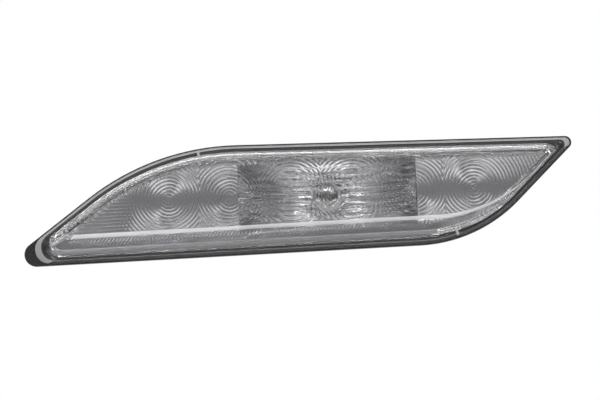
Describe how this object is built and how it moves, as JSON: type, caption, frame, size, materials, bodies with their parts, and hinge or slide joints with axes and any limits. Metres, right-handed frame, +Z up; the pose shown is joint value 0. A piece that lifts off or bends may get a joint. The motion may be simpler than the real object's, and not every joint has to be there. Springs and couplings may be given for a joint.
{
  "type": "reverse light",
  "caption": "Long leaf-shaped reverse light with a clear ring-optic lens, grey reflector, black housing and a bulb holder behind.",
  "frame": {"origin": "midway between the two fixing studs, in the plane their shoulders press on", "axes": "+X along the lamp to the right as seen from the front, +Z up, +Y into the car along the studs; the lens faces -Y"},
  "size_m": [0.323, 0.0771, 0.0665],
  "materials": {
    "clear_lens": "clear, polished",
    "black_housing": "satin",
    "metallised": "bright, slightly grey",
    "sealant": "matte",
    "foam": "matte foam",
    "zinc_steel": "plated",
    "bulb_glass": "clear",
    "tungsten": "dull",
    "holder_plastic": "matte",
    "seal_rubber": "matte",
    "contact_brass": "tinned",
    "membrane": "matte",
    "cap_plastic": "matte"
  },
  "bodies": {
    "root": {"outer_lens": "clear_lens", "lens_seal": "sealant", "housing": "black_housing", "bumper_gasket": "foam", "reflector": "metallised", "reflector_screws": "zinc_steel", "screw_seals": "seal_rubber", "stud_left": "zinc_steel", "stud_right": "zinc_steel", "vent_membrane": "membrane", "vent_cap": "cap_plastic", "bulb_envelope": "bulb_glass", "bulb_filament": "tungsten", "bulb_lead_wires": "tungsten", "bulb_holder": "holder_plastic", "holder_seal": "seal_rubber", "contact_left": "contact_brass", "contact_right": "contact_brass"}
  },
  "joints": []
}
